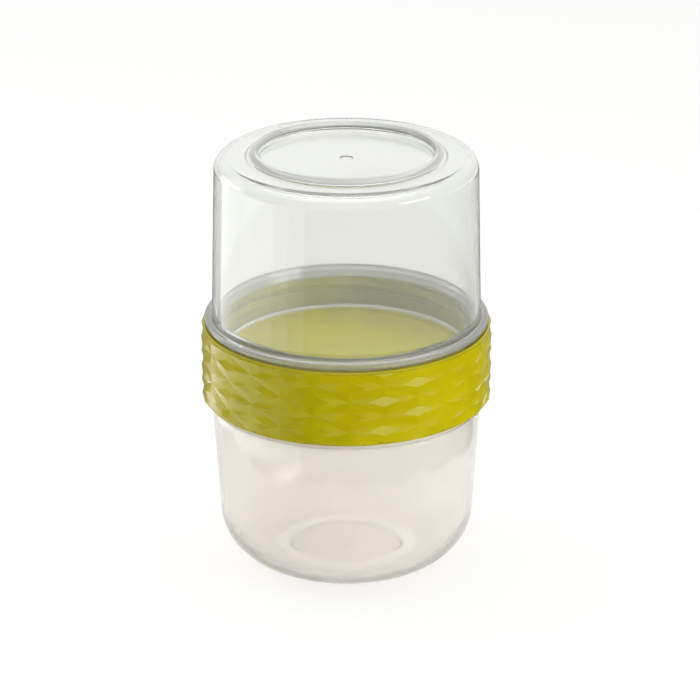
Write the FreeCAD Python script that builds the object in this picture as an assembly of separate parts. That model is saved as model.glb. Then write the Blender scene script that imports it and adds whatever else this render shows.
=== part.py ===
import FreeCAD, Part
import math
import os

# Two-compartment food container, millimetres, +Z up.
# The origin is the middle of the foot that the lower cup stands on, and every piece turns about Z.
# A lower cup and an upside-down upper cup both screw into one ring with a grip band.

# Counts and angles
full_turn = 360.0
facet_columns = 26
facet_repeats = 2.5
facet_turn = -5.8
facet_row_quarters = (-3, 1, 5)

# Screw necks, shared by both cups
neck_radius = 38.6
cup_wall = 1.6
rim_round = 0.4
neck_root_round = 0.5
throat_rise = 1.6
throat_round = 1.5

# Lower cup
lower_body_height = 51.6
lower_shoulder = 1.7
lower_taper = 3.1
base_corner = 16.5
floor_thickness = 1.7
foot_land = 3.5
foot_recess_depth = 0.8
foot_recess_slope = 0.8
foot_round = 0.4
bead_rise = 0.45
bead_height = 1.1
bead_round = 0.5
bead_root_round = 0.3

# Upper cup
upper_body_height = 51.3
upper_shoulder = 1.4
upper_taper = 1.2
crown_fillet = 4.1
crown_land = 9.1
foot_ring_rise = 1.7
foot_ring_slope = 2.2
foot_ring_width = 1.2
foot_ring_round = 0.3
foot_hollow_margin = 0.55
foot_hollow_rise = 1.3
foot_hollow_inset = 1.25
recess_depth = 2.7
recess_slope = 0.7
recess_round = 0.6
gate_radius = 2.0
gate_depth = 0.4
flange_overhang = 2.3
flange_thickness = 2.0
flange_round = 0.8
flange_root_round = 1.4

# Ring: a rigid collar inside a soft band
ring_height = 22.8
seat_gap = 0.5
thread_room = 1.3
collar_wall = 1.2
mouth_chamfer = 0.6
key_depth = 0.5
key_height = 5.0
sleeve_gap = 0.15
band_floor = 0.55
top_lip_height = 3.9
top_lip_rise = 1.2
bottom_lip_height = 3.5
bottom_lip_rise = 0.9
lip_round = 0.4
facet_margin = 0.5
facet_rise = 1.25
valley_depth = 0.2
facet_width = 10.0
facet_height = 3.3

# Divider and seals in the middle of the ring
divider_thickness = 2.0
divider_gap = 0.2
ledge_width = 0.9
ledge_height = 1.2
catch_width = 0.5
catch_height = 0.9
catch_gap = 0.1
seal_thickness = 1.5
seal_margin = 0.4
seal_round = 0.3
running_gap = 0.3
rim_guide_wall = 0.9
rim_guide_height = 1.0
rim_guide_round = 0.25

# Roundings smaller than this are eased by a flat instead of an arc
least_arc = 0.7

# Reach of cutting shapes past the surfaces that they trim
overrun = 5.0

# Heights of the stack, from the table up
ring_low = lower_body_height + seat_gap
ring_top = ring_low + ring_height
ring_middle = ring_low + ring_height / 2
divider_low = ring_middle - divider_thickness / 2
divider_top = ring_middle + divider_thickness / 2
lower_rim = divider_low - seal_thickness
upper_rim = divider_top + seal_thickness
flange_low = ring_top + seat_gap
flange_top = flange_low + flange_thickness
crown = flange_low + upper_body_height

# Radii of the ring, from the neck out
neck_bore = neck_radius - cup_wall
collar_bore = neck_radius + thread_room
collar_radius = collar_bore + collar_wall
band_bore = collar_radius + sleeve_gap
floor_radius = band_bore + band_floor
facet_radius = floor_radius + facet_rise
valley_radius = facet_radius - valley_depth


def rounded_edges(corners):
    """Lines and arcs round a closed outline of (radius, height, rounding) corners."""
    points = [FreeCAD.Vector(radius, 0, height) for radius, height, rounding in corners]
    starts = []
    ends = []
    arcs = []
    for index, (radius, height, rounding) in enumerate(corners):
        corner = points[index]
        back = (points[index - 1] - corner).normalize()
        ahead = (points[(index + 1) % len(points)] - corner).normalize()
        half = back.getAngle(ahead) / 2
        run = rounding / math.tan(half)
        starts.append(corner + back * run)
        ends.append(corner + ahead * run)
        middle = corner + (back + ahead).normalize() * (rounding / math.sin(half) - rounding)
        if rounding >= least_arc:
            arcs.append(Part.Arc(starts[-1], middle, ends[-1]).toShape())
        elif rounding:
            arcs.append(Part.LineSegment(starts[-1], ends[-1]).toShape())
        else:
            arcs.append(None)
    edges = []
    for index, arc in enumerate(arcs):
        if arc:
            edges.append(arc)
        edges.append(Part.LineSegment(ends[index], starts[(index + 1) % len(arcs)]).toShape())
    return edges


def turned(corners):
    """Solid of revolution about Z from a closed outline of (radius, height, rounding) corners."""
    face = Part.Face(Part.Wire(rounded_edges(corners)))
    return face.revolve(FreeCAD.Vector(), FreeCAD.Vector(0, 0, 1), full_turn)


def lower_cup():
    """Cup that stands on the table, with a large round corner at its base."""
    wall = neck_radius + lower_shoulder
    foot = wall - lower_taper
    recess = foot - base_corner - foot_land
    bead = wall + bead_rise
    bead_low = lower_body_height - bead_height
    floor = foot_recess_depth + floor_thickness
    return turned(
        [
            (0, foot_recess_depth, 0),
            (recess - foot_recess_slope, foot_recess_depth, foot_round),
            (recess, 0, foot_round),
            (foot, 0, base_corner),
            (wall, bead_low, bead_root_round),
            (bead, bead_low, bead_round),
            (bead, lower_body_height, bead_round),
            (neck_radius, lower_body_height, neck_root_round),
            (neck_radius, lower_rim, rim_round),
            (neck_bore, lower_rim, rim_round),
            (neck_bore, lower_body_height, throat_round),
            (wall - cup_wall, bead_low - throat_rise, throat_round),
            (foot - cup_wall, floor, base_corner - cup_wall),
            (0, floor, 0),
        ]
    )


def upper_cup():
    """Upside-down cup with a flange over the ring, a foot ring on its crown and a gate dimple."""
    wall = neck_radius + upper_shoulder
    crown_edge = wall - upper_taper
    ring_foot = crown_edge - crown_land
    ring_outside = ring_foot - foot_ring_slope
    ring_inside = ring_outside - foot_ring_width
    crest = crown + foot_ring_rise
    recess = ring_inside - recess_slope
    panel = crest - recess_depth
    flange = wall + flange_overhang
    return turned(
        [
            (0, panel - gate_depth, 0),
            (gate_radius - gate_depth, panel - gate_depth, 0),
            (gate_radius, panel, 0),
            (recess, panel, recess_round),
            (ring_inside, crest, foot_ring_round),
            (ring_outside, crest, foot_ring_round),
            (ring_foot, crown, recess_round),
            (crown_edge, crown, crown_fillet),
            (wall, flange_top, flange_root_round),
            (flange, flange_top, flange_round),
            (flange, flange_low, flange_round),
            (neck_radius, flange_low, neck_root_round),
            (neck_radius, upper_rim, rim_round),
            (neck_bore, upper_rim, rim_round),
            (neck_bore, flange_low, throat_round),
            (wall - cup_wall, flange_top + throat_rise, throat_round),
            (crown_edge - cup_wall, crown - cup_wall, crown_fillet - cup_wall),
            (ring_foot - foot_hollow_margin, crown - cup_wall, 0),
            (ring_outside, crown - cup_wall + foot_hollow_rise, 0),
            (recess + foot_hollow_inset, panel - cup_wall, 0),
            (0, panel - cup_wall, 0),
        ]
    )


def collar():
    """Rigid ring round both necks, with a ledge and a catch that trap the divider."""
    ledge = collar_bore - ledge_width
    catch = collar_bore - catch_width
    catch_low = divider_top + catch_gap
    catch_middle = catch_low + catch_height / 2
    key_low = ring_middle - key_height / 2
    key_top = ring_middle + key_height / 2
    mouth = collar_bore + mouth_chamfer
    return turned(
        [
            (mouth, ring_low, 0),
            (collar_radius, ring_low, 0),
            (collar_radius, key_low - key_depth, 0),
            (collar_radius - key_depth, key_low, 0),
            (collar_radius - key_depth, key_top, 0),
            (collar_radius, key_top + key_depth, 0),
            (collar_radius, ring_top, 0),
            (mouth, ring_top, 0),
            (collar_bore, ring_top - mouth_chamfer, 0),
            (collar_bore, catch_low + catch_height, 0),
            (catch, catch_middle, 0),
            (collar_bore, catch_low, 0),
            (collar_bore, divider_low, 0),
            (ledge, divider_low, 0),
            (ledge, divider_low - ledge_height, 0),
            (collar_bore, divider_low - ledge_height - ledge_width, 0),
            (collar_bore, ring_low + mouth_chamfer, 0),
        ]
    )


def divider_disc():
    """Plate between the compartments, with a guide rim inside each seal."""
    edge = collar_bore - divider_gap
    guide = neck_bore - seal_margin - running_gap
    inside = guide - rim_guide_wall
    low = divider_low - rim_guide_height
    top = divider_top + rim_guide_height
    return turned(
        [
            (0, divider_low, 0),
            (inside, divider_low, rim_guide_round),
            (inside, low, rim_guide_round),
            (guide, low, rim_guide_round),
            (guide, divider_low, 0),
            (edge, divider_low, 0),
            (edge, divider_top, 0),
            (guide, divider_top, 0),
            (guide, top, rim_guide_round),
            (inside, top, rim_guide_round),
            (inside, divider_top, rim_guide_round),
            (0, divider_top, 0),
        ]
    )


def seal(low):
    """Flat silicone ring under a cup's rim."""
    inner = neck_bore - seal_margin
    outer = collar_bore - ledge_width - running_gap
    return turned(
        [
            (inner, low, seal_round),
            (outer, low, seal_round),
            (outer, low + seal_thickness, seal_round),
            (inner, low + seal_thickness, seal_round),
        ]
    )


def on_cylinder(radius, angle, height):
    return FreeCAD.Vector(radius * math.cos(angle), radius * math.sin(angle), height)


def faceted_drum():
    """Solid drum of flat-topped diamonds: staggered columns, with a valley lattice between them."""
    step = 2 * math.pi / facet_columns
    pitch = ring_height / facet_repeats
    side_angle = math.atan2(facet_width / 2, facet_radius)
    side_radius = math.hypot(facet_width / 2, facet_radius)
    faces = []
    tops, bottoms = [], []
    for column in range(facet_columns):
        angle = math.radians(facet_turn) + column * step
        lean = 1 if column % 2 else -1
        for quarter in facet_row_quarters:
            middle = ring_middle + lean * quarter * pitch / 4
            flat = [
                on_cylinder(side_radius, angle + side_angle, middle),
                on_cylinder(facet_radius, angle, middle + facet_height / 2),
                on_cylinder(side_radius, angle - side_angle, middle),
                on_cylinder(facet_radius, angle, middle - facet_height / 2),
            ]
            valley = [
                on_cylinder(valley_radius, angle + step, middle),
                on_cylinder(valley_radius, angle, middle + pitch / 2),
                on_cylinder(valley_radius, angle - step, middle),
                on_cylinder(valley_radius, angle, middle - pitch / 2),
            ]
            faces.append(flat)
            for side in (0, 2):
                for end in (1, 3):
                    faces.append([flat[side], valley[side], valley[end]])
                    faces.append([flat[side], valley[end], flat[end]])
            if quarter == facet_row_quarters[-1]:
                crest = valley[1] if lean > 0 else valley[3]
                (tops if lean > 0 else bottoms).append((valley[0], crest, valley[2]))
    for rims, hub_height in ((tops, ring_top), (bottoms, ring_low)):
        hub = FreeCAD.Vector(0, 0, hub_height)
        for left, crest, right in rims:
            faces.append([hub, left, crest])
            faces.append([hub, crest, right])
    shell = Part.makeShell([Part.Face(Part.makePolygon(face + face[:1])) for face in faces])
    shell.sewShape()
    drum = Part.makeSolid(shell)
    return drum if drum.Volume > 0 else drum.reversed()


def grip_band():
    """Soft sleeve on the collar: plain lips at both ends, and diamond facets that stand out from them."""
    key_low = ring_middle - key_height / 2
    key_top = ring_middle + key_height / 2
    key = band_bore - key_depth
    bottom_lip = floor_radius + bottom_lip_rise
    bottom_lip_end = ring_low + bottom_lip_height
    top_lip = floor_radius + top_lip_rise
    top_lip_end = ring_top - top_lip_height
    sleeve = turned(
        [
            (band_bore, ring_low, 0),
            (bottom_lip, ring_low, lip_round),
            (bottom_lip, bottom_lip_end, 0),
            (floor_radius, bottom_lip_end + bottom_lip_rise, 0),
            (floor_radius, top_lip_end - top_lip_rise, 0),
            (top_lip, top_lip_end, 0),
            (top_lip, ring_top, lip_round),
            (band_bore, ring_top, 0),
            (band_bore, key_top + key_depth - sleeve_gap, 0),
            (key, key_top - sleeve_gap, 0),
            (key, key_low + sleeve_gap, 0),
            (band_bore, key_low - key_depth + sleeve_gap, 0),
        ]
    )
    face_low = ring_low + facet_margin
    face_top = ring_top - facet_margin
    skin = turned(
        [
            (floor_radius, face_low, 0),
            (floor_radius + overrun, face_low, 0),
            (floor_radius + overrun, face_top, 0),
            (floor_radius, face_top, 0),
        ]
    )
    return sleeve.fuse(faceted_drum().common(skin)).removeSplitter()


os.makedirs("parts", exist_ok=True)
pieces = {
    "lower_cup": lower_cup(),
    "upper_cup": upper_cup(),
    "collar": collar(),
    "grip_band": grip_band(),
    "divider_disc": divider_disc(),
    "lower_seal": seal(lower_rim),
    "upper_seal": seal(divider_top),
}
for name, shape in pieces.items():
    shape.exportStep("parts/" + name + ".step")
    print(name, len(shape.Solids), shape.isValid(), round(shape.Volume, 1), shape.BoundBox)
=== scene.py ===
import math
import bmesh
import bpy
from mathutils import Matrix, Vector


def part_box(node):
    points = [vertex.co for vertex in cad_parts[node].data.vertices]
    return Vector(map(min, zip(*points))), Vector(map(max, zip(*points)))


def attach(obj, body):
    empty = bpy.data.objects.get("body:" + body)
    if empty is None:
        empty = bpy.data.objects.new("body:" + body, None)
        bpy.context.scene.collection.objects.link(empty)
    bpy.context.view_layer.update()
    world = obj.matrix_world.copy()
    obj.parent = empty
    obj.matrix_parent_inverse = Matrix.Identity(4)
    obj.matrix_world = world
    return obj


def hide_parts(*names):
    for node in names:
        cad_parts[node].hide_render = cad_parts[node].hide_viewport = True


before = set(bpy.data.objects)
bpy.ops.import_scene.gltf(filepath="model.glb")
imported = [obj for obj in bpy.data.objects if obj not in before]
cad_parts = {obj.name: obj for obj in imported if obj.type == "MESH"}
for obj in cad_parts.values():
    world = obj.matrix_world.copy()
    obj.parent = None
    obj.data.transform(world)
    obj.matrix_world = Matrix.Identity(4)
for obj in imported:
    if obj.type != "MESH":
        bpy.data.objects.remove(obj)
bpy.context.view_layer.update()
scene = bpy.context.scene
scene.view_settings.view_transform = "Standard"
mm = 0.001  # sizes below are millimetres, Blender works in metres
weldGap = 0.002  # points of a turned shape this close are one point
print("frame loaded:", ", ".join(sorted(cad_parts)))


def nodeHeights(node):
    low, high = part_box(node)
    return low.z / mm, high.z / mm


lowerFoot, lowerRim = nodeHeights("lower_cup")
upperRim, crestHeight = nodeHeights("upper_cup")
ringLow, ringTop = nodeHeights("grip_band")
ringMiddle = (ringLow + ringTop) / 2


def finishPiece(name, bm, body, node, material):
    bmesh.ops.recalc_face_normals(bm, faces=bm.faces)
    mesh = bpy.data.meshes.new(name)
    bm.to_mesh(mesh)
    bm.free()
    mesh.shade_smooth()
    piece = bpy.data.objects.new(name, mesh)
    scene.collection.objects.link(piece)
    mesh.materials.append(material)
    even = piece.modifiers.new("evenNormals", "WEIGHTED_NORMAL")  # keeps flats flat beside their roundings
    even.weight = 100
    even.keep_sharp = True
    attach(piece, body)
    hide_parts(node)
    print("piece", name, len(mesh.polygons), "faces")


def turnedShape(outline, steps=160):
    # outline is (radius, height, rounding) round the section, and its ends join unless both are on the axis
    bm = bmesh.new()
    places = [Vector((radius * mm, 0, height * mm)) for radius, height, rounding in outline]
    corners = [bm.verts.new(place) for place in places]
    for index, corner in enumerate(corners):
        onAxis = places[index].x == 0 and places[index - 1].x == 0
        if not onAxis:
            bm.edges.new((corners[index - 1], corner))
    for index, (radius, height, rounding) in enumerate(outline):
        if rounding:
            back = places[index - 1] - places[index]
            ahead = places[(index + 1) % len(places)] - places[index]
            run = rounding * mm / math.tan(back.angle(ahead) / 2)
            arcSteps = 3 + round(4 * math.sqrt(rounding))  # a large rounding needs more
            bmesh.ops.bevel(
                bm, geom=[corners[index]], offset=run, offset_type="OFFSET", affect="VERTICES",
                segments=arcSteps, profile=0.5, material=-1, clamp_overlap=False,
            )
    bmesh.ops.spin(
        bm, geom=bm.verts[:] + bm.edges[:], cent=(0, 0, 0), axis=(0, 0, 1),
        angle=2 * math.pi, steps=steps, use_merge=True,
    )
    bmesh.ops.remove_doubles(bm, verts=bm.verts, dist=weldGap * mm)
    bmesh.ops.recalc_face_normals(bm, faces=bm.faces)
    return bm


def threadRib(crest, root, bottom, startTurn, thread):
    # one start of a screw thread: a small section swept up a helix, its ends sinking into the wall
    bm = bmesh.new()
    halfRoot = thread["rootWidth"] / 2
    halfCrest = thread["crestWidth"] / 2
    section = [(root, -halfRoot), (crest, -halfCrest), (crest, halfCrest), (root, halfRoot)]
    ring = [bm.verts.new((radius * mm, 0, (bottom + height) * mm)) for radius, height in section]
    loop = [bm.edges.new((ring[index - 1], ring[index])) for index in range(len(ring))]
    steps = thread["steps"]
    bmesh.ops.spin(
        bm, geom=ring + loop, cent=(0, 0, 0), axis=(0, 0, 1), angle=2 * math.pi * thread["turns"],
        dvec=(0, 0, thread["lead"] * thread["turns"] / steps * mm), steps=steps,
    )
    for index, vert in enumerate(bm.verts):
        # endSteps leaves a small cap at each end, so that the joins come out alike in every run
        along = index // len(section)
        grown = min(1, (min(along, steps - along) + thread["endSteps"]) / thread["fadeSteps"])
        radius = math.hypot(vert.co.x, vert.co.y)
        wanted = root * mm + (radius - root * mm) * grown
        vert.co.x *= wanted / radius
        vert.co.y *= wanted / radius
    openEdges = [edge for edge in bm.edges if edge.is_boundary]
    bmesh.ops.holes_fill(bm, edges=openEdges)
    start = Matrix.Rotation(2 * math.pi * startTurn, 3, "Z")
    bmesh.ops.rotate(bm, verts=bm.verts, cent=(0, 0, 0), matrix=start)
    bmesh.ops.recalc_face_normals(bm, faces=bm.faces)
    return bm


def helperObject(bm):
    mesh = bpy.data.meshes.new("helper")
    bm.to_mesh(mesh)
    bm.free()
    helper = bpy.data.objects.new("helper", mesh)
    scene.collection.objects.link(helper)
    return helper


def combined(bm, others):
    # exact booleans, applied one after another; others is (operation, bmesh)
    body = helperObject(bm)
    helpers = [body]
    for operation, other in others:
        tool = helperObject(other)
        helpers.append(tool)
        modifier = body.modifiers.new(operation.lower(), "BOOLEAN")
        modifier.operation = operation
        modifier.solver = "EXACT"
        modifier.object = tool
    bpy.context.view_layer.update()
    evaluated = body.evaluated_get(bpy.context.evaluated_depsgraph_get())
    result = bmesh.new()
    result.from_mesh(evaluated.to_mesh())
    evaluated.to_mesh_clear()
    for helper in helpers:
        mesh = helper.data
        bpy.data.objects.remove(helper)
        bpy.data.meshes.remove(mesh)
    return result


def colour(code):
    channels = [int(code[place:place + 2], 16) / 255 for place in (1, 3, 5)]
    linear = [c / 12.92 if c <= 0.04045 else ((c + 0.055) / 1.055) ** 2.4 for c in channels]
    return (*linear, 1.0)


def addNode(tree, kind, settings=None, links=None):
    node = tree.nodes.new(kind)
    for key, value in (settings or {}).items():
        if key in node.inputs:
            node.inputs[key].default_value = value
        else:
            setattr(node, key, value)
    for key, source in (links or {}).items():
        tree.links.new(source, node.inputs[key])
    return node


def newMaterial(name):
    material = bpy.data.materials.new(name)
    material.use_nodes = True
    tree = material.node_tree
    tree.nodes.clear()
    return material, tree


def perMillimetre(size):
    # texture scale whose pattern repeats about every size millimetres
    return 1 / (size * mm)


def clearPlastic(name, look):
    # see-through moulding: handling haze in the gloss, a slow swell in the wall, a milky thick section at one
    # height, a cloudier part above the crest height, and a tint that gathers with depth
    material, tree = newMaterial(name)
    place = addNode(tree, "ShaderNodeTexCoord")
    haze = addNode(tree, "ShaderNodeTexNoise", {"Scale": perMillimetre(look["handledSize"]), "Detail": 4.0},
                   {"Vector": place.outputs["Object"]})
    hazeLow, hazeHigh = 0.35, 0.75  # the noise seldom leaves this range
    rough = addNode(tree, "ShaderNodeMapRange", {"From Min": hazeLow, "From Max": hazeHigh,
                                                 "To Min": look["smooth"], "To Max": look["handled"]},
                    {"Value": haze.outputs["Fac"]})
    swell = addNode(tree, "ShaderNodeTexNoise", {"Scale": perMillimetre(look["swellSize"]), "Detail": 1.0},
                    {"Vector": place.outputs["Object"]})
    swellDepth = 1
    flow = addNode(tree, "ShaderNodeBump", {"Strength": look["swell"], "Distance": swellDepth * mm},
                   {"Height": swell.outputs["Fac"]})
    axes = addNode(tree, "ShaderNodeSeparateXYZ", None, {"Vector": place.outputs["Object"]})
    low, high = look["thick"]
    above = addNode(tree, "ShaderNodeMapRange", {"From Min": (low - look["fade"]) * mm, "From Max": low * mm},
                    {"Value": axes.outputs["Z"]})
    below = addNode(tree, "ShaderNodeMapRange",
                    {"From Min": (high + look["fade"]) * mm, "From Max": high * mm},
                    {"Value": axes.outputs["Z"]})
    inside = addNode(tree, "ShaderNodeMath", {"operation": "MULTIPLY"},
                     {0: above.outputs["Result"], 1: below.outputs["Result"]})
    clear = addNode(tree, "ShaderNodeMapRange", {"To Min": look["clear"], "To Max": look["milky"]},
                    {"Value": inside.outputs[0]})
    crestFull = look["crest"] + look["fade"]
    crest = addNode(tree, "ShaderNodeMapRange", {"From Min": look["crest"] * mm, "From Max": crestFull * mm,
                                                 "To Min": 1.0, "To Max": look["crestClear"]},
                    {"Value": axes.outputs["Z"]})
    clear = addNode(tree, "ShaderNodeMath", {"operation": "MULTIPLY"},
                    {0: clear.outputs["Result"], 1: crest.outputs["Result"]})
    # the thick section takes a colour of its own; on the upper cup's flange that grey is painted shade
    tint = addNode(tree, "ShaderNodeValToRGB", None, {"Fac": inside.outputs[0]})
    thin, thick = tint.color_ramp.elements
    thin.color = colour(look["tint"])
    thick.color = colour(look["thickTintAndShade"])
    plastic = addNode(tree, "ShaderNodeBsdfPrincipled", {"IOR": look["ior"]},
                      {"Base Color": tint.outputs["Color"], "Roughness": rough.outputs["Result"],
                       "Normal": flow.outputs["Normal"], "Transmission Weight": clear.outputs[0]})
    shade = addNode(tree, "ShaderNodeValToRGB", None, {"Fac": inside.outputs[0]})
    thin, thick = shade.color_ramp.elements
    thin.color = colour(look["shade"])
    thick.color = colour(look["thickShade"])
    passed = addNode(tree, "ShaderNodeBsdfTransparent", None, {"Color": shade.outputs["Color"]})
    rays = addNode(tree, "ShaderNodeLightPath")
    wall = addNode(tree, "ShaderNodeMixShader", None,
                   {0: rays.outputs["Is Shadow Ray"], 1: plastic.outputs[0], 2: passed.outputs[0]})
    depth = addNode(tree, "ShaderNodeVolumeAbsorption", {"Color": colour(look["edgeTint"]),
                                                         "Density": look["edgeDensity"]})
    addNode(tree, "ShaderNodeOutputMaterial", None, {"Surface": wall.outputs[0], "Volume": depth.outputs[0]})
    return material


def pigmentedPlastic(name, look):
    # opaque moulding: faint clouding in the pigment and the gloss, over the fine grain of the tool
    material, tree = newMaterial(name)
    place = addNode(tree, "ShaderNodeTexCoord")
    cloud = addNode(tree, "ShaderNodeTexNoise", {"Scale": perMillimetre(look["cloudSize"]), "Detail": 3.0},
                    {"Vector": place.outputs["Object"]})
    grain = addNode(tree, "ShaderNodeTexNoise", {"Scale": perMillimetre(look["grainSize"]), "Detail": 2.0},
                    {"Vector": place.outputs["Object"]})
    cloudLow, cloudHigh = 0.3, 0.7  # the noise seldom leaves this range
    rough = addNode(tree, "ShaderNodeMapRange", {"From Min": cloudLow, "From Max": cloudHigh,
                                                 "To Min": look["smooth"], "To Max": look["worn"]},
                    {"Value": cloud.outputs["Fac"]})
    grainDepth = 0.05
    skin = addNode(tree, "ShaderNodeBump", {"Strength": look["grain"], "Distance": grainDepth * mm},
                   {"Height": grain.outputs["Fac"]})
    ramp = addNode(tree, "ShaderNodeValToRGB", None, {"Fac": cloud.outputs["Fac"]})
    deep, base = ramp.color_ramp.elements
    deep.position = cloudLow
    deep.color = colour(look["deep"])
    base.position = cloudHigh
    base.color = colour(look["base"])
    plastic = addNode(tree, "ShaderNodeBsdfPrincipled",
                      {"IOR": look["ior"], "Specular IOR Level": look["shine"]},
                      {"Base Color": ramp.outputs["Color"], "Roughness": rough.outputs["Result"],
                       "Normal": skin.outputs["Normal"]})
    addNode(tree, "ShaderNodeOutputMaterial", None, {"Surface": plastic.outputs[0]})
    return material


# screw necks, the same on both cups
neck = dict(radius=38.6, wall=1.6, height=9.4, rimRound=0.4, rootRound=0.5, throatRise=1.6, throatRound=1.5)
neckBore = neck["radius"] - neck["wall"]
flangeFoot = upperRim + neck["height"]
lowerShoulder = lowerRim - neck["height"]

# copolyester from a polished tool: glassy, grey where the eye looks along the wall, and grey at the flange,
# where that grey is painted shade
upperPlastic = clearPlastic("clear_copolyester_moulded", dict(
    tint="#F9FAF8", shade="#F6F7F5", ior=1.5, clear=0.93, smooth=0.03, handled=0.08, handledSize=18,
    swellSize=28, swell=0.03, thick=(flangeFoot, flangeFoot + 1.8), thickTintAndShade="#C2C2BC", thickShade="#7A7A76",
    milky=0.6, fade=0.6, crest=crestHeight - 1.6, crestClear=0.55, edgeTint="#8E938C", edgeDensity=34))
# clarified polypropylene: a slight milky haze, a softer gloss and a warm edge
lowerPlastic = clearPlastic("clarified_polypropylene_moulded", dict(
    tint="#F7F5F0", shade="#F7F5F0", ior=1.49, clear=0.84, smooth=0.08, handled=0.16, handledSize=14,
    swellSize=24, swell=0.04, thick=(lowerShoulder - 1.1, lowerShoulder), thickTintAndShade="#EFE8DA",
    thickShade="#E6E0D4", milky=0.4, fade=0.4, crest=lowerRim, crestClear=1.0, edgeTint="#C9BAA0",
    edgeDensity=12))
# soft elastomer from a fine spark-eroded tool: satin gloss that shows each facet as one flat tone
gripRubber = pigmentedPlastic("lime_elastomer_moulded", dict(
    base="#C6B900", deep="#BCAF00", ior=1.5, shine=0.25, smooth=0.11, worn=0.16, cloudSize=9,
    grainSize=0.35, grain=0.03))
# pigmented polypropylene: even lime with a soft sheen
ringPlastic = pigmentedPlastic("lime_polypropylene_moulded", dict(
    base="#B9B21A", deep="#A69F10", ior=1.49, shine=0.5, smooth=0.28, worn=0.4, cloudSize=12,
    grainSize=0.5, grain=0.05))
# uncoloured silicone from a press tool: soft white with a matt bloom
sealRubber = pigmentedPlastic("natural_silicone_moulded", dict(
    base="#E8E6DF", deep="#DAD8D0", ior=1.41, shine=0.5, smooth=0.42, worn=0.55, cloudSize=5,
    grainSize=0.4, grain=0.03))
print("materials ready")

# screw threads, on both cups and in the collar
thread = dict(lead=8.0, starts=2, turns=0.62, steps=72, fadeSteps=9, endSteps=0.25, rootWidth=2.1,
              crestWidth=1.0, cupCrest=39.5, cupRoot=38.2, collarCrest=39.0, collarRoot=40.3,
              bottomMargin=2.6, startTurn=0.08)
threadPitch = thread["lead"] / thread["starts"]


def neckThreads(crest, root, bottom, startTurn):
    return [("UNION", threadRib(crest, root, bottom, startTurn + start / thread["starts"], thread))
            for start in range(thread["starts"])]


# lower cup
lowerCup = dict(shoulder=1.7, taper=3.1, baseCorner=16.5, floor=1.7, footLand=3.5, footRecess=0.8,
                footSlope=0.8, footRound=0.4, beadRise=0.45, beadHeight=1.1, beadRound=0.5, beadRootRound=0.3)


def makeLowerCup(cup):
    wall = neck["radius"] + cup["shoulder"]
    foot = wall - cup["taper"]
    recess = foot - cup["baseCorner"] - cup["footLand"]
    bead = wall + cup["beadRise"]
    beadLow = lowerShoulder - cup["beadHeight"]
    inside = lowerFoot + cup["footRecess"] + cup["floor"]
    shape = turnedShape([
        (0, lowerFoot + cup["footRecess"], 0),
        (recess - cup["footSlope"], lowerFoot + cup["footRecess"], cup["footRound"]),
        (recess, lowerFoot, cup["footRound"]),
        (foot, lowerFoot, cup["baseCorner"]),
        (wall, beadLow, cup["beadRootRound"]),
        (bead, beadLow, cup["beadRound"]),
        (bead, lowerShoulder, cup["beadRound"]),
        (neck["radius"], lowerShoulder, neck["rootRound"]),
        (neck["radius"], lowerRim, neck["rimRound"]),
        (neckBore, lowerRim, neck["rimRound"]),
        (neckBore, lowerShoulder, neck["throatRound"]),
        (wall - neck["wall"], beadLow - neck["throatRise"], neck["throatRound"]),
        (foot - neck["wall"], inside, cup["baseCorner"] - neck["wall"]),
        (0, inside, 0),
    ])
    bottom = lowerShoulder + thread["bottomMargin"]
    ribs = neckThreads(thread["cupCrest"], thread["cupRoot"], bottom, thread["startTurn"])
    finishPiece("lowerCup", combined(shape, ribs), "lower_cup", "lower_cup", lowerPlastic)


makeLowerCup(lowerCup)

# upper cup, standing on its mouth
upperCup = dict(shoulder=1.4, taper=1.2, crownFillet=4.1, crownLand=9.1, footRingRise=1.7,
                footRingSlope=2.2, footRingWidth=1.2, footRingRound=0.35, hollowMargin=0.55,
                hollowRise=1.3, hollowInset=1.25, recess=2.7, recessSlope=0.7, recessRound=0.6,
                gateRadius=2.0, gateDepth=0.25, flangeOverhang=2.3, flangeThickness=2.0, flangeRound=0.8,
                flangeRootRound=1.4)


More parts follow.
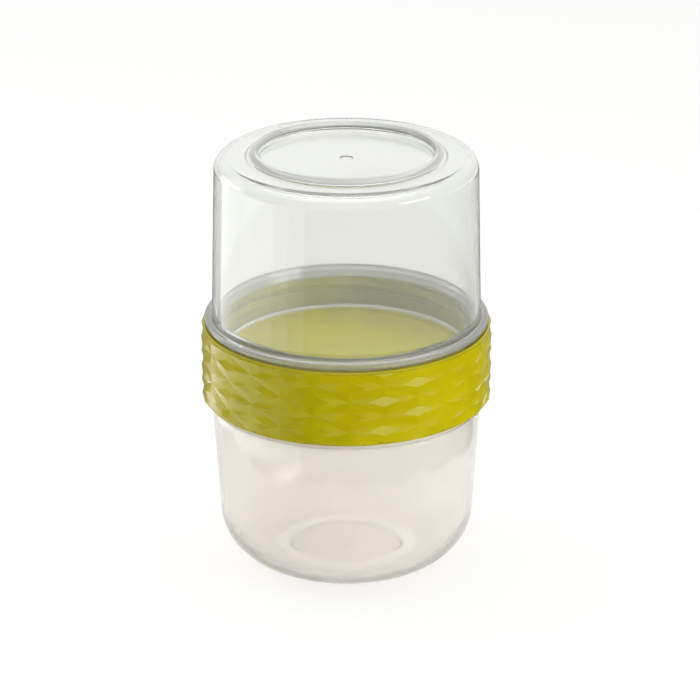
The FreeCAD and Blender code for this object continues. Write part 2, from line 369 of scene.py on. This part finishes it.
def makeUpperCup(cup):
    wall = neck["radius"] + cup["shoulder"]
    crownEdge = wall - cup["taper"]
    crown = crestHeight - cup["footRingRise"]
    ringFoot = crownEdge - cup["crownLand"]
    ringOutside = ringFoot - cup["footRingSlope"]
    ringInside = ringOutside - cup["footRingWidth"]
    recess = ringInside - cup["recessSlope"]
    panel = crestHeight - cup["recess"]
    flange = wall + cup["flangeOverhang"]
    flangeTop = flangeFoot + cup["flangeThickness"]
    gateRound = cup["gateDepth"] / 3
    shape = turnedShape([
        (0, panel - cup["gateDepth"], 0),
        (cup["gateRadius"] - cup["gateDepth"], panel - cup["gateDepth"], gateRound),
        (cup["gateRadius"], panel, gateRound),
        (recess, panel, cup["recessRound"]),
        (ringInside, crestHeight, cup["footRingRound"]),
        (ringOutside, crestHeight, cup["footRingRound"]),
        (ringFoot, crown, cup["recessRound"]),
        (crownEdge, crown, cup["crownFillet"]),
        (wall, flangeTop, cup["flangeRootRound"]),
        (flange, flangeTop, cup["flangeRound"]),
        (flange, flangeFoot, cup["flangeRound"]),
        (neck["radius"], flangeFoot, neck["rootRound"]),
        (neck["radius"], upperRim, neck["rimRound"]),
        (neckBore, upperRim, neck["rimRound"]),
        (neckBore, flangeFoot, neck["throatRound"]),
        (wall - neck["wall"], flangeTop + neck["throatRise"], neck["throatRound"]),
        (crownEdge - neck["wall"], crown - neck["wall"], cup["crownFillet"] - neck["wall"]),
        (ringFoot - cup["hollowMargin"], crown - neck["wall"], cup["footRingRound"]),
        (ringOutside, crown - neck["wall"] + cup["hollowRise"], cup["footRingRound"]),
        (recess + cup["hollowInset"], panel - neck["wall"], cup["footRingRound"]),
        (0, panel - neck["wall"], 0),
    ])
    bottom = upperRim + thread["bottomMargin"]
    ribs = neckThreads(thread["cupCrest"], thread["cupRoot"], bottom, thread["startTurn"])
    finishPiece("upperCup", combined(shape, ribs), "upper_cup", "upper_cup", upperPlastic)


makeUpperCup(upperCup)

# ring: rigid collar, divider and seals inside the soft band
collar = dict(bore=39.9, wall=1.2, mouthChamfer=0.6, keyDepth=0.5, keyHeight=5.0, ledgeWidth=0.9,
              ledgeHeight=1.2, catchWidth=0.5, catchHeight=0.9, catchGap=0.1, edgeRound=0.12)
divider = dict(thickness=2.0, gap=0.2, guideWall=0.9, guideHeight=1.0, guideRound=0.25)
seal = dict(thickness=1.5, margin=0.4, round=0.3, runningGap=0.3)
dividerLow = ringMiddle - divider["thickness"] / 2
dividerTop = ringMiddle + divider["thickness"] / 2
collarRadius = collar["bore"] + collar["wall"]


def makeCollar(ring):
    bore = ring["bore"]
    ledge = bore - ring["ledgeWidth"]
    catchLow = dividerTop + ring["catchGap"]
    keyLow = ringMiddle - ring["keyHeight"] / 2
    keyTop = ringMiddle + ring["keyHeight"] / 2
    mouth = bore + ring["mouthChamfer"]
    ledgeLow = dividerLow - ring["ledgeHeight"]
    ease = ring["edgeRound"]
    shape = turnedShape([
        (mouth, ringLow, ease),
        (collarRadius, ringLow, ease),
        (collarRadius, keyLow - ring["keyDepth"], 0),
        (collarRadius - ring["keyDepth"], keyLow, 0),
        (collarRadius - ring["keyDepth"], keyTop, 0),
        (collarRadius, keyTop + ring["keyDepth"], 0),
        (collarRadius, ringTop, ease),
        (mouth, ringTop, ease),
        (bore, ringTop - ring["mouthChamfer"], ease),
        (bore, catchLow + ring["catchHeight"], ease),
        (bore - ring["catchWidth"], catchLow + ring["catchHeight"] / 2, ease),
        (bore, catchLow, 0),
        (bore, dividerLow, 0),
        (ledge, dividerLow, ease),
        (ledge, ledgeLow, ease),
        (bore, ledgeLow - ring["ledgeWidth"], ease),
        (bore, ringLow + ring["mouthChamfer"], ease),
    ])
    startTurn = thread["startTurn"] - threadPitch / 2 / thread["lead"]  # midway between the cups' ribs
    ribs = []
    for neckBottom in (lowerShoulder, upperRim):
        bottom = neckBottom + thread["bottomMargin"]
        ribs += neckThreads(thread["collarCrest"], thread["collarRoot"], bottom, startTurn)
    finishPiece("collar", combined(shape, ribs), "ring", "collar", ringPlastic)


def makeDivider(disc):
    edge = collar["bore"] - disc["gap"]
    guide = neckBore - seal["margin"] - seal["runningGap"]
    inside = guide - disc["guideWall"]
    low = dividerLow - disc["guideHeight"]
    top = dividerTop + disc["guideHeight"]
    ease = disc["guideRound"]
    shape = turnedShape([
        (0, dividerLow, 0),
        (inside, dividerLow, ease),
        (inside, low, ease),
        (guide, low, ease),
        (guide, dividerLow, 0),
        (edge, dividerLow, ease),
        (edge, dividerTop, ease),
        (guide, dividerTop, 0),
        (guide, top, ease),
        (inside, top, ease),
        (inside, dividerTop, ease),
        (0, dividerTop, 0),
    ])
    finishPiece("dividerDisc", shape, "ring", "divider_disc", ringPlastic)


def makeSeal(name, node, low):
    inner = neckBore - seal["margin"]
    outer = collar["bore"] - collar["ledgeWidth"] - seal["runningGap"]
    top = low + seal["thickness"]
    shape = turnedShape([
        (inner, low, seal["round"]),
        (outer, low, seal["round"]),
        (outer, top, seal["round"]),
        (inner, top, seal["round"]),
    ])
    finishPiece(name, shape, node, node, sealRubber)


makeCollar(collar)
makeDivider(divider)
makeSeal("lowerSeal", "lower_seal", lowerRim)
makeSeal("upperSeal", "upper_seal", dividerTop)

# grip band: a soft sleeve with plain lips, and flat diamonds whose flanks meet in shallow creases
gripBand = dict(columns=26, repeats=2.5, turn=-5.8, rowQuarters=(-3, 1, 5), sleeveGap=0.15, floor=0.55,
                topLipHeight=3.9, topLipRise=0.9, bottomLipHeight=3.5, bottomLipRise=0.9, lipRound=0.4,
                lipEase=0.8, facetMargin=0.5, facetRise=1.25, valleyDepth=0.25, facetWidth=10.0,
                facetHeight=3.3, flankCuts=4, turnSteps=208, cellWeld=0.01, cutSlack=0.001)
bandBore = collarRadius + gripBand["sleeveGap"]
floorRadius = bandBore + gripBand["floor"]
facetRadius = floorRadius + gripBand["facetRise"]


def diamondCell(band, step, pitch):
    # one diamond drawn flat as (turn, height), inset to its facet, cut finely and wrapped on the cylinder
    bm = bmesh.new()
    near = 0.001  # room for rounding errors
    corners = ((0, step, 0), (0, 0, pitch / 2), (0, -step, 0), (0, 0, -pitch / 2))
    facet = bm.faces.new([bm.verts.new(corner) for corner in corners])
    bmesh.ops.inset_individual(bm, faces=[facet], thickness=step / 4, use_even_offset=False)
    halfTurn = math.atan(band["facetWidth"] / 2 / facetRadius)
    halfHeight = band["facetHeight"] / 2
    for vert in facet.verts:
        sideways = abs(vert.co.y) / step > abs(vert.co.z) / pitch
        if sideways:
            vert.co = (0, math.copysign(halfTurn, vert.co.y), 0)
        else:
            vert.co = (0, 0, math.copysign(halfHeight, vert.co.z))
    bmesh.ops.subdivide_edges(bm, edges=bm.edges[:], cuts=band["flankCuts"], use_grid_fill=True)
    for vert in bm.verts:
        vert.co.x = abs(vert.co.y) / halfTurn + abs(vert.co.z) / halfHeight  # one on the facet's edge
    flat = [face for face in bm.faces if all(vert.co.x < 1 + near for vert in face.verts)]
    bmesh.ops.dissolve_faces(bm, faces=flat)
    for edge in bm.edges:
        # flanks stay smooth inside, and crisp against the facet, each other and the next diamond
        ends = [vert.co for vert in edge.verts]
        alongRidge = any(all(abs(end[axis]) < near for end in ends) for axis in (1, 2))
        edge.smooth = not (edge.is_boundary or alongRidge or all(abs(end.x - 1) < near for end in ends))
    for vert in bm.verts:
        inFacet, turn, height = vert.co
        radius = facetRadius / math.cos(turn)
        if inFacet > 1:
            inCell = abs(turn) / step + abs(height) / (pitch / 2)  # one along the crease
            run = (1 - 1 / inFacet) / (1 / inCell - 1 / inFacet)
            edgeRadius = facetRadius / math.cos(turn / inFacet)
            radius = edgeRadius + (facetRadius - band["valleyDepth"] - edgeRadius) * run
        vert.co = (radius * math.cos(turn) * mm, radius * math.sin(turn) * mm, height * mm)
    return bm


def facetedDrum(band, low, top):
    # the cell is copied up two columns and these are spun round
    step = 2 * math.pi / band["columns"]
    pitch = (ringTop - ringLow) / band["repeats"]
    bm = diamondCell(band, step, pitch)
    first = bm.verts[:] + bm.edges[:] + bm.faces[:]
    for lean in (-1, 1):
        for quarter in band["rowQuarters"]:
            copy = bmesh.ops.duplicate(bm, geom=first)["geom"]
            verts = [item for item in copy if isinstance(item, bmesh.types.BMVert)]
            angle = math.radians(band["turn"]) + (step if lean > 0 else 0)
            bmesh.ops.rotate(bm, verts=verts, cent=(0, 0, 0), matrix=Matrix.Rotation(angle, 3, "Z"))
            height = ringMiddle + lean * quarter * pitch / 4
            bmesh.ops.translate(bm, verts=verts, vec=(0, 0, height * mm))
    drawn = [item for item in first if isinstance(item, bmesh.types.BMVert)]
    bmesh.ops.delete(bm, geom=drawn, context="VERTS")
    pairs = band["columns"] // 2
    bmesh.ops.spin(bm, geom=bm.verts[:] + bm.edges[:] + bm.faces[:], cent=(0, 0, 0), axis=(0, 0, 1),
                   angle=2 * math.pi * (pairs - 1) / pairs, steps=pairs - 1, use_duplicate=True)
    bmesh.ops.remove_doubles(bm, verts=bm.verts, dist=band["cellWeld"] * mm)
    for height, normal in ((low, (0, 0, -1)), (top, (0, 0, 1))):
        everything = bm.verts[:] + bm.edges[:] + bm.faces[:]
        bmesh.ops.bisect_plane(bm, geom=everything, plane_co=(0, 0, height * mm), plane_no=normal,
                               clear_outer=True, dist=band["cutSlack"] * mm)
    rims = [edge for edge in bm.edges if edge.is_boundary]
    bmesh.ops.holes_fill(bm, edges=rims)
    bmesh.ops.recalc_face_normals(bm, faces=bm.faces)
    return bm


def makeGripBand(band):
    bottomLip = floorRadius + band["bottomLipRise"]
    bottomLipEnd = ringLow + band["bottomLipHeight"]
    topLip = floorRadius + band["topLipRise"]
    topLipEnd = ringTop - band["topLipHeight"]
    keyLow = ringMiddle - collar["keyHeight"] / 2
    keyTop = ringMiddle + collar["keyHeight"] / 2
    keyRadius = bandBore - collar["keyDepth"]
    gap = band["sleeveGap"]
    sleeve = turnedShape([
        (0, ringLow, 0),
        (bottomLip, ringLow, band["lipRound"]),
        (bottomLip, bottomLipEnd, band["lipEase"]),
        (floorRadius, bottomLipEnd + band["bottomLipRise"], 0),
        (floorRadius, topLipEnd - band["topLipRise"], 0),
        (topLip, topLipEnd, band["lipEase"]),
        (topLip, ringTop, band["lipRound"]),
        (0, ringTop, 0),
    ], band["turnSteps"])
    past = band["facetMargin"]
    bore = turnedShape([
        (0, ringLow - past, 0),
        (bandBore, ringLow - past, 0),
        (bandBore, keyLow - collar["keyDepth"] + gap, 0),
        (keyRadius, keyLow + gap, 0),
        (keyRadius, keyTop - gap, 0),
        (bandBore, keyTop + collar["keyDepth"] - gap, 0),
        (bandBore, ringTop + past, 0),
        (0, ringTop + past, 0),
    ], band["turnSteps"])
    drum = facetedDrum(band, ringLow + past, ringTop - past)
    shape = combined(sleeve, [("UNION", drum), ("DIFFERENCE", bore)])
    finishPiece("gripBand", shape, "ring", "grip_band", gripRubber)


makeGripBand(gripBand)

# floor, light and camera
studio = dict(floorReach=3000, floorSides=96, floorWhite="#EEEDEB", floorGlow=1.33, floorShare=0.5,
              skyWhite=1.0, skyLight=0.5, ceiling=2.5, ceilingSpan=(0.6, 0.97), walls=0.45,
              wallSpan=(0.35, 0.85))


def shownRays(tree):
    # one for the rays that show the background: straight to the eye, mirrored, or through something clear
    rays = addNode(tree, "ShaderNodeLightPath")
    seen = addNode(tree, "ShaderNodeMath", {"operation": "ADD"},
                   {0: rays.outputs["Is Camera Ray"], 1: rays.outputs["Is Glossy Ray"]})
    shown = addNode(tree, "ShaderNodeMath", {"operation": "ADD", "use_clamp": True},
                    {0: seen.outputs[0], 1: rays.outputs["Is Transmission Ray"]})
    return shown.outputs[0]


def stageObject(name, bm, material):
    mesh = bpy.data.meshes.new(name)
    bm.to_mesh(mesh)
    bm.free()
    mesh.materials.append(material)
    thing = bpy.data.objects.new(name, mesh)
    scene.collection.objects.link(thing)
    return thing


def makeFloor(place):
    # half lit paper, which keeps the shadow, and half glow: together they come to white
    bm = bmesh.new()
    bmesh.ops.create_circle(bm, cap_ends=True, segments=place["floorSides"], radius=place["floorReach"] * mm)
    material, tree = newMaterial("white_paper_floor")
    paper = addNode(tree, "ShaderNodeBsdfDiffuse", {"Color": colour(place["floorWhite"])})
    glow = addNode(tree, "ShaderNodeEmission", {"Color": colour("#FFFFFF"), "Strength": place["floorGlow"]})
    share = addNode(tree, "ShaderNodeMapRange", {"To Max": place["floorShare"]}, {"Value": shownRays(tree)})
    floor = addNode(tree, "ShaderNodeMixShader", None, {0: share.outputs["Result"], 1: paper.outputs[0],
                                                        2: glow.outputs[0]})
    addNode(tree, "ShaderNodeOutputMaterial", None, {"Surface": floor.outputs[0]})
    stageObject("floor", bm, material)


def mirrorCard(name, bm, card):
    # studio card or flag that shows only as a mirror image on the object
    material, tree = newMaterial(name)
    glow = addNode(tree, "ShaderNodeEmission", {"Color": colour(card["code"]), "Strength": card["strength"]})
    addNode(tree, "ShaderNodeOutputMaterial", None, {"Surface": glow.outputs[0]})
    sheet = stageObject(name, bm, material)
    sheet.visible_camera = False
    sheet.visible_diffuse = False
    sheet.visible_transmission = False
    sheet.visible_shadow = False


def addFloorCard(name, card):
    # part of a ring just over the floor, between two turns in degrees from +X
    bm = bmesh.new()
    ends = [bm.verts.new((radius * mm, 0, card["lift"] * mm)) for radius in card["reach"]]
    side = bm.edges.new(ends)
    start, stop = [math.radians(turn) for turn in card["turns"]]
    bmesh.ops.rotate(bm, verts=bm.verts, cent=(0, 0, 0), matrix=Matrix.Rotation(start, 3, "Z"))
    bmesh.ops.spin(bm, geom=ends + [side], cent=(0, 0, 0), axis=(0, 0, 1), angle=stop - start,
                   steps=card["steps"])
    mirrorCard(name, bm, card)


def addUprightCard(name, card):
    bm = bmesh.new()
    low, high = card["heights"]
    ends = [bm.verts.new((x * mm, y * mm, low * mm)) for x, y in card["feet"]]
    raised = bmesh.ops.extrude_edge_only(bm, edges=[bm.edges.new(ends)])["geom"]
    tops = [item for item in raised if isinstance(item, bmesh.types.BMVert)]
    bmesh.ops.translate(bm, verts=tops, vec=(0, 0, (high - low) * mm))
    mirrorCard(name, bm, card)


def makeSky(place):
    world = bpy.data.worlds.new("studio")
    scene.world = world
    world.use_nodes = True
    tree = world.node_tree
    tree.nodes.clear()
    # white to the eye; mirrored and bent rays find greyer walls left and right, and mirrored ones a ceiling
    way = addNode(tree, "ShaderNodeTexCoord")
    axes = addNode(tree, "ShaderNodeSeparateXYZ", None, {"Vector": way.outputs["Generated"]})
    across = addNode(tree, "ShaderNodeMath", {"operation": "ABSOLUTE"}, {0: axes.outputs["X"]})
    wallStart, wallFull = place["wallSpan"]
    walls = addNode(tree, "ShaderNodeMapRange",
                    {"From Min": wallStart, "From Max": wallFull, "To Min": place["skyWhite"],
                     "To Max": place["walls"], "interpolation_type": "SMOOTHSTEP"},
                    {"Value": across.outputs[0]})
    ceilingStart, ceilingFull = place["ceilingSpan"]
    ceiling = addNode(tree, "ShaderNodeMapRange",
                      {"From Min": ceilingStart, "From Max": ceilingFull, "To Max": place["ceiling"],
                       "interpolation_type": "SMOOTHSTEP"},
                      {"Value": axes.outputs["Z"], "To Min": walls.outputs["Result"]})
    rays = addNode(tree, "ShaderNodeLightPath")
    level = addNode(tree, "ShaderNodeMapRange", {"To Min": place["skyLight"], "To Max": place["skyWhite"]},
                    {"Value": rays.outputs["Is Camera Ray"]})
    for ray, target in (("Is Transmission Ray", walls), ("Is Glossy Ray", ceiling)):
        level = addNode(tree, "ShaderNodeMapRange", None, {"Value": rays.outputs[ray],
                                                           "To Min": level.outputs["Result"],
                                                           "To Max": target.outputs["Result"]})
    sky = addNode(tree, "ShaderNodeBackground", {"Color": colour("#FFFFFF")},
                  {"Strength": level.outputs["Result"]})
    addNode(tree, "ShaderNodeOutputWorld", None, {"Surface": sky.outputs[0]})


def addSoftbox(name, aim, box):
    light = bpy.data.lights.new(name, "AREA")
    light.shape = "RECTANGLE"
    light.size = box["width"] * mm
    light.size_y = box["height"] * mm
    light.energy = box["watts"]
    lamp = bpy.data.objects.new(name, light)
    place = Vector(box["place"])
    lamp.location = place * mm
    lamp.rotation_euler = (aim - place).normalized().to_track_quat("-Z", "Y").to_euler()
    lamp.visible_camera = False
    lamp.visible_glossy = False
    scene.collection.objects.link(lamp)


def makeCamera(shot):
    camera = bpy.data.cameras.new("camera")
    camera.sensor_width = shot["sensor"]
    camera.lens = shot["lens"]
    camera.clip_start = shot["clipNear"] * mm
    camera.clip_end = shot["clipFar"] * mm
    view = bpy.data.objects.new("camera", camera)
    rise = math.radians(shot["elevation"])
    aim = Vector((shot["aimAcross"], 0, shot["aimHeight"]))
    back = Vector((0, -math.cos(rise), math.sin(rise))) * shot["distance"]
    view.location = (aim + back) * mm
    view.rotation_euler = (-back).to_track_quat("-Z", "Y").to_euler()
    scene.collection.objects.link(view)
    scene.camera = view


shot = dict(sensor=36.0, lens=172.03, elevation=21.55, distance=1000.0, aimAcross=1.07, aimHeight=65.27,
            clipNear=10, clipFar=20000)
softboxes = dict(
    overheadSoftbox=dict(place=(0, 100, 900), width=700, height=700, watts=1.8),
    leftSoftbox=dict(place=(-650, 250, 320), width=400, height=600, watts=1.4),
    rightSoftbox=dict(place=(800, -450, 260), width=500, height=400, watts=4.0),
)
# white cards brighten the facets and the left side, grey flags keep the white floor out of the gloss
floorCards = dict(
    tableFlag=dict(turns=(-168, 35), reach=(105, 900), steps=6, lift=1, code="#404040", strength=1.0),
    rightCard=dict(turns=(-70, -20), reach=(166, 235), steps=2, lift=2, code="#FFFFFF", strength=3.6),
    leftFloorCard=dict(turns=(-186, -152), reach=(110, 450), steps=2, lift=2, code="#FFFFFF", strength=2.4),
    leftFloorFade=dict(turns=(-152, -138), reach=(110, 450), steps=2, lift=2, code="#FFFFFF", strength=1.7),
    leftFloorEnd=dict(turns=(-138, -124), reach=(110, 450), steps=2, lift=2, code="#FFFFFF", strength=0.9),
    leftGlow=dict(turns=(140, 186), reach=(120, 330), steps=2, lift=1, code="#FFFFFF", strength=2.4),
    leftFloorFlag=dict(turns=(160, 180), reach=(167, 236), steps=1, lift=3, code="#909090", strength=1.0),
    backFlag=dict(turns=(35, 145), reach=(140, 520), steps=4, lift=1, code="#888888", strength=1.0),
)
leftCard = dict(feet=((-178, 4), (-141, 93)), heights=(28, 160), code="#FFFFFF", strength=2.0)

makeFloor(studio)
makeSky(studio)
for name, box in softboxes.items():
    addSoftbox(name, Vector((0, 0, ringMiddle)), box)
for name, card in floorCards.items():
    addFloorCard(name, card)
addUprightCard("leftCard", leftCard)
makeCamera(shot)
print("stage ready")
